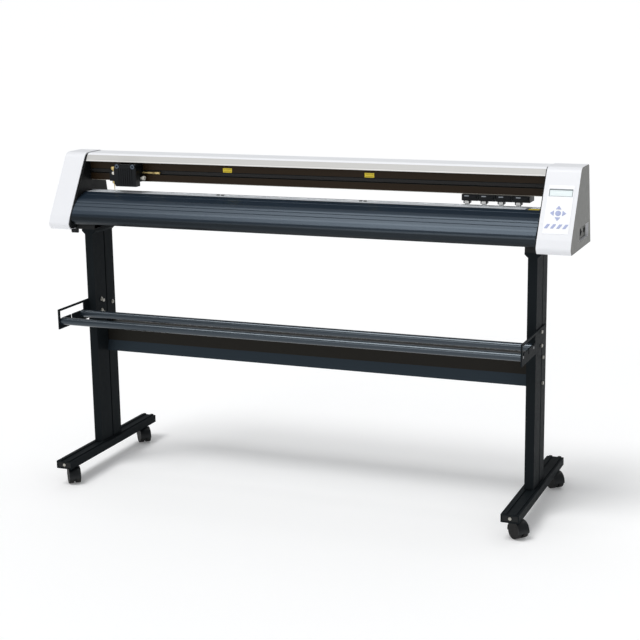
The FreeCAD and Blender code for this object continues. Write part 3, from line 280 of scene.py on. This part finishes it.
zinc = finish("zinc_plate", zinc_plate, Metallic=0.6)
black_nylon = finish("black_nylon", plug_plastic, Specular_IOR_Level=0.25)
plug_recess = 0.0012
plug_depth = 0.012
plug_rise = 0.0115
plug_wide, plug_tall, plug_corner = 0.0444, 0.0164, 0.002
plug_screw = [(0, 0.0046), (0.00063, 0.0046), (0.00108, 0.0040), (0.00108, 0.0022), (0.00054, 0.0019),
              (0.00054, 0)]
for side in ("left", "right"):
    low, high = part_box(side + "_foot")
    middle = (low.x + high.x) / 2
    level = low.z + plug_rise
    for end, edge, inward in (("front", low.y, 1), ("rear", high.y, -1)):
        name = f"{side}_foot_{end}_plug"
        face = edge + inward * plug_recess
        outline = rounded(middle, level, plug_wide, plug_tall, plug_corner)
        slab(shape(name, "frame", black_nylon), outline, face, face + inward * plug_depth,
             facing_y, 0.0006)
        turned(shape(name + "_screw", "frame", zinc), (middle, face, level), (0, -inward, 0),
               plug_screw, 24)

# ---- Casters. Each has a moulded nylon hood over two wheels, which turn on a steel axle, and a
# ---- stem that swivels in the foot. The treads are hard black rubber, dusty where they roll.


def worn_tread(shade):
    dust = shade.noise(70, 4)
    return {
        "Base Color": dust.blend(tint("121213"), tint("222221")),
        "Roughness": 0.55 + 0.25 * dust,
        "Normal": shade.noise(900, 2).bump(0.0004, 0.5),
    }


def hood_moulding(shade):
    return {
        "Base Color": shade.noise(40, 3).blend(tint("0B0E11"), tint("121619")),
        "Roughness": 0.34 + 0.14 * shade.noise(120, 2),
        "Normal": shade.noise(1500, 2).bump(0.0003, 0.5),
    }


tread = finish("worn_tread", worn_tread, Specular_IOR_Level=0.25)
hood_nylon = finish("hood_nylon", hood_moulding, Specular_IOR_Level=0.3)
for corner in ("front_left", "front_right", "rear_left", "rear_right"):
    coat(hood_nylon, "caster_hood_" + corner)
    coat(tread, "caster_wheels_" + corner)

# ---- Legs and crossbeam. The legs are grooved box columns with a welded plate on top, bolted to
# ---- the head. The beam between them is a folded section, its lower edge turned back.


def beam_coat(shade):
    high = shade.place("Z")
    patches = shade.noise(6, 2, (0.2, 1, 1))
    upper = patches.blend(tint("201F1C"), tint("262421"))
    # Below 0.392 m the beam is painted lighter and bluish: a painted reflection on its turned-back lower
    # edge.
    lower_painted_reflection = patches.blend(tint("252D34"), tint("2B343B"))
    return {
        "Base Color": (high > 0.392).blend(lower_painted_reflection, upper),
        "Roughness": 0.38 + 0.14 * shade.noise(60, 3),
        "Normal": shade.noise(1100, 2).bump(0.0004, 0.5),
    }


coat(stand_paint, "left_leg", "right_leg")
coat(finish("beam_paint", beam_coat, Specular_IOR_Level=0.05), "crossbeam")

# ---- Roll cradle. Two steel brackets stand out from the legs and carry two long tubes that turn
# ---- freely on their axles. Plated socket screws hold the brackets and the beam.


def satin_tube(shade):
    rub = shade.noise(14, 3, (0.15, 1, 1))
    return {
        "Base Color": rub.blend(tint("1B2229"), tint("242D35")),
        "Roughness": 0.17 + 0.06 * rub,
    }


coat(stand_paint, "left_media_bracket", "right_media_bracket")
coat(zinc, "stand_bolts")
leg_half = 0.0132
socket_screw = [(-0.003, 0), (-0.003, 0.0062), (0.0007, 0.0062), (0.0007, 0.0046), (0.0030, 0.0044),
                (0.0036, 0.0038), (0.0036, 0.0022), (0.0022, 0.0020), (0.0022, 0)]
for side, inward in (("left", 1), ("right", -1)):
    low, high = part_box(side + "_leg")
    inner = (low.x + high.x) / 2 + inward * leg_half
    for number, (y, z) in enumerate(((-0.024, 0.5285), (0.042, 0.5075), (-0.024, 0.4925))):
        name = f"{side}_leg_inner_screw_{number + 1}"
        turned(shape(name, "frame", zinc), (inner, y, z), (inward, 0, 0), socket_screw, 24)
coat(finish("satin_tube", satin_tube, Specular_IOR_Level=0.7, Specular_Tint=(0.8, 0.91, 1.0, 1.0)),
     "front_media_roller", "rear_media_roller")

# ---- Side plates. Folded and welded black steel plates close the head's ends, carry the shafts
# ---- and motors, and sit on the legs.

plate_paint = finish("plate_paint", plug_plastic, Specular_IOR_Level=0.2)
coat(plate_paint, "left_side_plate", "right_side_plate")

# ---- Platen. A slate-coloured extrusion with a level deck under the blade and a rounded apron in
# ---- front, grooved along its length. The blade runs over a pale cutting strip clipped in the deck.


apron_painted_shade_level = 0.790


def slate_coat(shade):
    streak = shade.noise(5, 3, (0.12, 1, 1))
    # The apron below about 0.79 m is painted near black: painted shade on its lower, down-turned face.
    apron_painted_shade_mask = (shade.place("Z") - apron_painted_shade_level) * 70
    return {
        "Base Color": apron_painted_shade_mask.blend(tint("090C0E"), streak.blend(tint("1B2530"), tint("24303C"))),
        "Roughness": 0.22 + 0.12 * shade.noise(30, 3, (0.06, 1, 1)),
        "Normal": shade.noise(800, 2, (0.05, 1, 1)).bump(0.0002, 0.18),
    }


slate = finish("slate_coat", slate_coat, Specular_IOR_Level=0.40, Specular_Tint=(0.72, 0.86, 1.0, 1.0))
coat(slate, "platen")


def wear_plastic(shade):
    cut = shade.noise(260, 3, (0.03, 1, 1))
    return {
        "Base Color": cut.blend(tint("D5DADF"), tint("ECF0F3")),
        "Roughness": 0.3 + 0.2 * cut,
        "Normal": shade.noise(700, 2, (0.04, 1, 1)).bump(0.0002, 0.4),
    }


def yellow_print(shade):
    return {
        "Base Color": shade.noise(90, 2).blend(tint("E6C81A"), tint("F2DA30")),
        "Roughness": 0.35 + 0.1 * shade.noise(90, 2),
    }


pale_wear = finish("wear_plastic", wear_plastic)
yellow = finish("yellow_print", yellow_print)
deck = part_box("platen")[1].z
strip_left, strip_right = -0.726, 0.650
strip_front, strip_back = 0.0030, 0.0302
strip = rounded((strip_left + strip_right) / 2, (strip_front + strip_back) / 2, strip_right - strip_left,
                strip_back - strip_front, 0.001)
slab(shape("cutting_strip", "frame", pale_wear), strip, deck - 0.0002, deck + 0.0008,
     facing_z, 0.0003)
for number, middle in enumerate((-0.289, -0.275, 0.163, 0.177)):
    clip = rounded(middle, strip_back - 0.0040, 0.0085, 0.0085, 0.0015)
    slab(shape(f"strip_clip_{number + 1}", "frame", black_nylon), clip, deck + 0.0006,
         deck + 0.0023, facing_z, 0.0004)
slab(shape("deck_label", "frame", yellow), rounded(0.674, 0.0085, 0.030, 0.019, 0.001),
     deck - 0.0001, deck + 0.0003, facing_z)

# ---- Drive roller. A ground steel shaft across the whole head, knurled where it grips the sheet,
# ---- in two moulded supports. A toothed pulley and belt join it to its motor.


def ground_steel(shade):
    grip = (shade.place("X") * 18).fraction() < 0.86
    return {
        "Base Color": grip.blend(tint("E4E9EE"), tint("F0F4F8")),
        "Roughness": 0.22 + 0.2 * shade.noise(300, 2),
        "Normal": shade.noise(2200, 2).bump(0.0003, 0.6),
    }


roller_steel = finish("ground_steel", ground_steel, Metallic=0.45)
coat(roller_steel, "drive_roller")
coat(black_nylon, "roller_supports")


def turned_alloy(shade):
    return {
        "Base Color": shade.noise(300, 2).blend(tint("A9ABAD"), tint("C9CBCD")),
        "Roughness": 0.25 + 0.15 * shade.noise(600, 2),
    }


def belt_rubber(shade):
    return {
        "Base Color": shade.noise(200, 2).blend(tint("0F0F10"), tint("1A1A1A")),
        "Roughness": 0.6 + 0.2 * shade.noise(300, 2),
    }


def motor_enamel(shade):
    return {
        "Base Color": shade.noise(50, 2).blend(tint("141415"), tint("1B1B1C")),
        "Roughness": 0.3 + 0.2 * shade.noise(90, 2),
        "Normal": shade.noise(900, 2).bump(0.0002, 0.5),
    }


alloy = finish("turned_alloy", turned_alloy, Metallic=1.0)
rubber = finish("belt_rubber", belt_rubber)
motor_black = finish("motor_enamel", motor_enamel)
coat(alloy, "roller_pulley", "feed_motor_pulley", "carriage_drive_pulley", "idler_pulley")
coat(rubber, "feed_belt", "carriage_belt")
coat(motor_black, "feed_motor", "carriage_motor")

# ---- Rail. A hollow extrusion, anodised brown-black, with a groove in front where the belt runs
# ---- and the carriage's lug slides. Two yellow labels with plain lines are stuck on its front.


def brown_anodise(shade):
    # The front groove, between 0.9105 and 0.9245 m, is painted blue-black: painted shade in the recess.
    groove_painted_shade_mask = shade.place("Z").within(0.9105, 0.9245)
    streak = shade.noise(6, 3, (0.1, 1, 1))
    brown = streak.blend(tint("261B0F"), tint("302314"))
    groove_painted_shade = streak.blend(tint("0D1518"), tint("121C20"))
    return {
        "Base Color": groove_painted_shade_mask.blend(brown, groove_painted_shade),
        "Roughness": 0.32 + 0.12 * shade.noise(40, 3, (0.05, 1, 1)),
        "Normal": shade.noise(900, 2, (0.05, 1, 1)).bump(0.0002, 0.3),
    }


coat(finish("brown_anodise", brown_anodise, Specular_IOR_Level=0.14), "carriage_rail")

rail_low, rail_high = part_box("carriage_rail")
label_level = 0.9312
for number, middle in ((1, -0.2625), (2, 0.1855)):
    name = f"rail_label_{number}"
    outline = rounded(middle, label_level, 0.029, 0.0130, 0.001)
    slab(shape(name, "frame", yellow), outline, rail_low.y - 0.00015, rail_low.y + 0.0002,
         facing_y)
    for row in (0, 1):
        bar = rounded(middle, label_level + 0.0064 * (row - 0.5), 0.024, 0.0006, 0.0002, 2)
        slab(shape(f"{name}_line_{row + 1}", "frame", black_nylon), bar, rail_low.y - 0.00024,
             rail_low.y - 0.0001, facing_y)


def bright_edge(shade):
    return {
        "Base Color": shade.noise(60, 2, (0.05, 1, 1)).blend(tint("8F8B84"), tint("B9B5AD")),
        "Roughness": 0.3 + 0.15 * shade.noise(80, 2),
    }


bare_edge = finish("bright_edge", bright_edge, Metallic=0.8)
lip = rounded((rail_low.x + rail_high.x) / 2, rail_low.z + 0.0007, rail_high.x - rail_low.x - 0.002, 0.0012,
              0.0004)
slab(shape("rail_bright_edge", "frame", bare_edge), lip, rail_low.y - 0.0002,
     rail_low.y + 0.0004, facing_y)

# ---- Pinch units. Four moulded blocks slide in the rail's dovetail, each with a fork for a small
# ---- pale rubber wheel that presses the sheet on the drive roller.


def pale_rubber(shade):
    return {
        "Base Color": shade.noise(200, 3).blend(tint("F1F0ED"), tint("FCFBF9")),
        "Roughness": 0.5 + 0.2 * shade.noise(300, 2),
    }


def grey_print(shade):
    return {
        "Base Color": shade.noise(150, 2).blend(tint("7E848B"), tint("9CA2A8")),
        "Roughness": 0.35 + 0.1 * shade.noise(90, 2),
    }


moulded_black = finish("moulded_black", hood_moulding, Specular_IOR_Level=0.18)
pale_wheel = finish("pale_rubber", pale_rubber)
grey_tag = finish("grey_print", grey_print)
for number in (1, 2, 3, 4):
    coat(moulded_black, f"pinch_arm_{number}")
    coat(pale_wheel, f"pinch_wheel_{number}")
    low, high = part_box(f"pinch_arm_{number}")
    body = f"pinch_unit_{number}"
    tag = rounded(low.x + 0.0145, 0.8842, 0.0130, 0.0030, 0.0008)
    slab(shape(f"pinch_tag_{number}", body, grey_tag), tag, low.y - 0.0008, low.y + 0.001,
         facing_y, 0.0003)
    name = f"pinch_grip_{number}"
    grip_x, grip_z = low.x + 0.0330, 0.8815
    grip = rounded(grip_x, grip_z, 0.019, 0.0075, 0.002)
    slab(shape(name, body, moulded_black), grip, low.y - 0.0045, low.y + 0.001,
         facing_y, 0.001)
    for rib in (-1, 0, 1):
        bar = rounded(grip_x + 0.0045 * rib, grip_z, 0.0012, 0.0055, 0.0004, 2)
        slab(shape(f"{name}_rib_{rib + 2}", body, moulded_black), bar, low.y - 0.0049,
             low.y - 0.004, facing_y)

# ---- Carriage. A moulded block runs on the rail behind a ribbed black cover. It holds the turned
# ---- brass blade holder on its left.


def turned_brass(shade):
    return {
        "Base Color": shade.noise(300, 2).blend(tint("C8AB62"), tint("EAD69C")),
        "Roughness": 0.22 + 0.2 * shade.noise(500, 2),
    }


def ivory_plastic(shade):
    return {
        "Base Color": shade.noise(200, 2).blend(tint("DEDBD0"), tint("F0EEE6")),
        "Roughness": 0.35 + 0.1 * shade.noise(90, 2),
    }


def blue_grey_cap(shade):
    return {
        "Base Color": shade.noise(200, 2).blend(tint("3F4A57"), tint("566373")),
        "Roughness": 0.3 + 0.12 * shade.noise(90, 2),
    }


brass = finish("turned_brass", turned_brass, Metallic=0.6)
ivory = finish("ivory_plastic", ivory_plastic)
cap_blue = finish("blue_grey_cap", blue_grey_cap)
coat(moulded_black, "carriage_body", "carriage_cover")
coat(brass, "blade_holder")
cover_low, cover_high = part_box("carriage_cover")
ring = [(0, 0.0028), (0, 0.0068), (0.0008, 0.0068), (0.0014, 0.0060), (0.0014, 0.0034), (0.0002, 0.0028)]
for side, place in (("left", cover_low.x + 0.011), ("right", cover_high.x - 0.011)):
    turned(shape(f"carriage_ear_ring_{side}", "carriage", cap_blue),
           (place, cover_low.y + 0.0015, cover_high.z - 0.008), (0, -1, 0), ring)

# The knob stays clear of the carriage at the bottom of the blade's travel.
holder_low, holder_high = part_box("blade_holder")
holder_x = (holder_low.x + holder_high.x) / 2
holder_y = (holder_low.y + holder_high.y) / 2
knob = [(0, 0.0062), (0, 0.0086), (0.001, 0.0092), (0.0075, 0.0092), (0.0085, 0.0082), (0.0085, 0.0062)]
turned(shape("holder_knob", "blade", brass), (holder_x, holder_y, 0.9259), (0, 0, 1), knob)
holder_clamp = [(0, 0), (0, 0.0036), (0.0026, 0.0036), (0.0026, 0.0044), (0.0034, 0.0049),
                (0.0085, 0.0049), (0.0096, 0.0041), (0.0098, 0)]
holder_clamp_place = (-0.6242, 0.0024, 0.9168)
turned(shape("holder_clamp_screw", "carriage", ivory), holder_clamp_place, (0, -1, 0),
       holder_clamp)
side_clamp = [(0, 0), (0, 0.004), (0.004, 0.004), (0.004, 0.0058), (0.005, 0.0065), (0.0125, 0.0065),
              (0.0136, 0.0055), (0.0140, 0.0030), (0.0132, 0)]
turned(shape("clamp_knob", "carriage", ivory),
       (cover_high.x - 0.002, 0.0240, 0.9010), (1, 0, 0), side_clamp)
tension_screw = [(0, 0), (0, 0.0026), (0.022, 0.0026), (0.022, 0.0034), (0.036, 0.0034), (0.036, 0.0024),
                 (0.038, 0.0024), (0.038, 0.0038), (0.0385, 0.0041), (0.0605, 0.0041), (0.0615, 0.0034),
                 (0.0615, 0)]
turned(shape("tension_screw", "carriage", brass),
       (cover_high.x - 0.004, 0.0352, 0.9165), (1, 0, 0), tension_screw)

# ---- Top cover. A folded white plastic cover closes the rail from above and behind, with a
# ---- greyer strip along its front.


def strip_plastic(shade):
    wear = shade.noise(4, 3)
    high = shade.place("Z")
    front = (shade.place("Y") < 0.0235) * (high < 0.9676)
    edge = high < 0.9525
    grey = edge.blend(tint("C6C5C2"), tint("DCDBD8"))
    return {
        "Base Color": front.blend(wear.blend(tint("EEF0F3"), tint("F4F5F8")), grey),
        "Roughness": 0.34 + 0.12 * shade.noise(50, 3),
        "Normal": shade.noise(1800, 2).bump(0.0002, 0.35),
    }


coat(finish("top_cover_plastic", strip_plastic, Coat_Weight=0.1, Coat_Roughness=0.25), "top_cover")
top_low, top_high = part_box("top_cover")
screw_count = 6
screw_inset = 0.09
screw_pitch = (top_high.x - top_low.x - 2 * screw_inset) / (screw_count - 1)
cover_screw = [(-0.002, 0), (-0.002, 0.0034), (0.0006, 0.0034), (0.0014, 0.0026), (0.0016, 0.0016),
               (0.0010, 0.0014), (0.0010, 0)]
for number in range(screw_count):
    place = top_low.x + screw_inset + number * screw_pitch
    turned(shape(f"cover_screw_{number + 1}", "frame", zinc),
           (place, top_high.y - 0.0029, 0.9050), (0, 1, 0.16), cover_screw, 20)

# ---- End covers. Two moulded white shells close the head's ends over the plates and motors, and
# ---- are screwed on from below. Their outer sides are painted dark grey, as painted shade.


def end_cover_side_shade(shade):
    wear = shade.noise(4, 3)
    normal = shade.node("ShaderNodeNewGeometry", {}, {}, output=1)
    sideways = abs(shade.node("ShaderNodeSeparateXYZ", {}, {0: normal}))
    # The outer side faces of both white shells are painted dark grey: painted shade.
    shaded_outer_side = (abs(shade.place("X")) > 0.7895) * (sideways > 0.90)
    white = wear.blend(tint("E9EAEE"), tint("F0F1F4"))
    grey = wear.blend(tint("383931"), tint("42433B"))
    return {
        "Base Color": shaded_outer_side.blend(white, grey),
        "Roughness": 0.34 + 0.14 * shade.noise(50, 3),
        "Normal": shade.noise(1800, 2).bump(0.0002, 0.35),
    }


coat(finish("end_cover_plastic", end_cover_side_shade, Coat_Weight=0.1, Coat_Roughness=0.25),
     "left_end_cover", "right_end_cover")
tab_left, tab_right, tab_top, tab_foot, tab_chamfer = -0.787, -0.761, 0.7525, 0.7262, 0.0025
tab = [(tab_left, tab_top), (tab_right, tab_top), (tab_right, tab_foot + 0.0023),
       (tab_right - tab_chamfer, tab_foot), (tab_left + tab_chamfer, tab_foot), (tab_left, tab_foot + 0.0023)]
slab(shape("catch_tab", "frame", plate_paint), tab, 0.0028, 0.0052, facing_y, 0.0004)
screw_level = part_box("left_end_cover")[0].z + 0.0012
end_screw = [(0, 0), (0, 0.0036), (0.0010, 0.0036), (0.0018, 0.0028), (0.0020, 0.0016), (0.0014, 0.0014),
             (0.0014, 0)]
for number, (x, y) in enumerate(((-0.768, -0.04), (-0.768, 0.11), (0.753, -0.04), (0.753, 0.11))):
    turned(shape(f"end_cover_screw_{number + 1}", "frame", zinc), (x, y, screw_level),
           (0, 0, -1), end_screw, 20)

# ---- Control panel. A printed film carries the display window, a round group of arrow keys and
# ---- a row of four slanted keys, over the display board.


def film(shade):
    return {
        "Base Color": shade.noise(8, 2).blend(tint("F6F7FB"), tint("FBFCFE")),
        "Roughness": 0.26 + 0.1 * shade.noise(60, 2),
        "Normal": shade.noise(2400, 2).bump(0.0001, 0.3),
    }


def key_dome(shade):
    return {
        "Base Color": shade.noise(120, 2).blend(tint("9CA6CF"), tint("AEB7DA")),
        "Roughness": 0.3 + 0.1 * shade.noise(200, 2),
    }


def display_face(shade):
    return {
        "Base Color": shade.noise(60, 2).blend(tint("B9D3D3"), tint("CFE4E2")),
        "Roughness": 0.12 + 0.06 * shade.noise(60, 2),
    }


panel_low, panel_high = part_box("control_panel")
slope_rise, slope_run = 0.182, 0.110
tilt = math.atan2(slope_rise, slope_run)
film_thickness = 0.0012
panel_x = (panel_low.x + panel_high.x) / 2
foot_y = panel_low.y + film_thickness * math.sin(tilt)
foot_z = panel_low.z


def on_panel(u, v, level):
    """A point u across from the panel's middle, v up the slope and level out of the film's back."""
    return (panel_x + u, foot_y + v * math.cos(tilt) - level * math.sin(tilt),
            foot_z + v * math.sin(tilt) + level * math.cos(tilt))


white_film = finish("panel_film", film, Coat_Weight=0.2, Coat_Roughness=0.15)
coat(white_film, "control_panel")
keys = [name for name in nodes if name.startswith("key_")]
coat(finish("key_dome", key_dome), *keys)
coat(finish("display_face", display_face, Coat_Weight=0.4), "display_module")


def shadow_plastic(shade):
    return {
        "Base Color": shade.noise(100, 2).blend(tint("6F7579"), tint("858B8F")),
        "Roughness": 0.4 + 0.1 * shade.noise(90, 2),
    }


def display_glass(shade):
    cells = (shade.place("X") * 250).fraction().within(0.06, 0.86)
    return {
        "Base Color": (cells * 0.2).blend(tint("F4FDFE"), tint("E2F0F0")),
        "Roughness": 0.08 + 0.05 * shade.noise(60, 2),
    }


window_shade_material = finish("shadow_plastic", shadow_plastic)
lcd = finish("display_glass", display_glass, Coat_Weight=0.5, Coat_Roughness=0.05)
window_half, window_foot, window_top = 0.0322, 0.1080, 0.1300
# Dark grey strips inside the display window are painted shade, widest under its top edge.
side_shade_width, top_shade_width, foot_shade_width = 0.0013, 0.0028, 0.0010


def painted_window_shade(name, left, right, bottom, top, out):
    """One side of the painted shade around the display window: a dark grey strip in its recess."""
    outline = [(left, bottom), (right, bottom), (right, top), (left, top)]
    slab(shape(name, "frame", window_shade_material), outline, 0.0002, out, on_panel, 0.0002)


top_shade_floor = window_top - top_shade_width
painted_window_shade("display_top_painted_shade", -window_half, window_half, top_shade_floor, window_top, 0.0019)
painted_window_shade("display_left_painted_shade", -window_half, side_shade_width - window_half, window_foot, top_shade_floor, 0.0016)
painted_window_shade("display_right_painted_shade", window_half - side_shade_width, window_half, window_foot, top_shade_floor, 0.0016)
painted_window_shade("display_foot_painted_shade", -window_half, window_half, window_foot, window_foot + foot_shade_width, 0.0014)
pane = rounded(0, 0.1181, 0.0612, 0.0180, 0.0008)
slab(shape("display_pane", "frame", lcd), pane, 0, 0.0004, on_panel)

# ---- Power recess and board. The mains inlet, the rocker switch and the data port are black
# ---- mouldings in the right cover's side, and the green board stands behind them.

coat(black_nylon, "rear_sockets", "power_switch")


def board_laminate(shade):
    return {
        "Base Color": shade.noise(40, 2).blend(tint("1E5B38"), tint("2A6E46")),
        "Roughness": 0.4 + 0.1 * shade.noise(80, 2),
    }


coat(finish("board_laminate", board_laminate), "main_board")

# ---- Studio. A pale floor, two soft lights from the front left, one high and one low, a weak one
# ---- from behind and a pale surround.


def pale_floor(shade):
    return {"Base Color": shade.noise(0.6, 2).blend(tint("FAFAFA"), tint("FDFDFD")), "Roughness": 0.85}


floor_half = 900
mesh = bmesh.new()
bmesh.ops.create_grid(mesh, x_segments=4, y_segments=4, size=floor_half)
ground = bpy.data.meshes.new("floor")
mesh.to_mesh(ground)
mesh.free()
ground.materials.append(finish("pale_floor", pale_floor, Emission_Color=(1, 1, 1, 1), Emission_Strength=0.12))
floor = bpy.data.objects.new("floor", ground)
floor.location.z = cad_low.z - 0.0005
bpy.context.scene.collection.objects.link(floor)
floor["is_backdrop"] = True
for name, away, strength, spread in (("key_light", (-0.28, -0.36, 1.0), 1.45, 28),
                                     ("front_light", (-0.22, -0.95, 0.34), 0.40, 24),
                                     ("back_light", (-0.1, 0.7, 0.9), 0.35, 60)):
    lamp = bpy.data.objects.new(name, bpy.data.lights.new(name, "SUN"))
    lamp.data.energy = strength
    lamp.data.angle = math.radians(spread)
    lamp.location = 4 * Vector(away)
    lamp.rotation_euler = (-Vector(away)).to_track_quat("-Z", "Y").to_euler()
    bpy.context.scene.collection.objects.link(lamp)
surround = bpy.data.worlds.new("surround")
surround.use_nodes = True
surround.node_tree.nodes["Background"].inputs[0].default_value = (0.97, 0.985, 1, 1)
surround.node_tree.nodes["Background"].inputs[1].default_value = 0.40
bpy.context.scene.world = surround
bpy.context.scene.view_settings.view_transform = "Standard"

low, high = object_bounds()
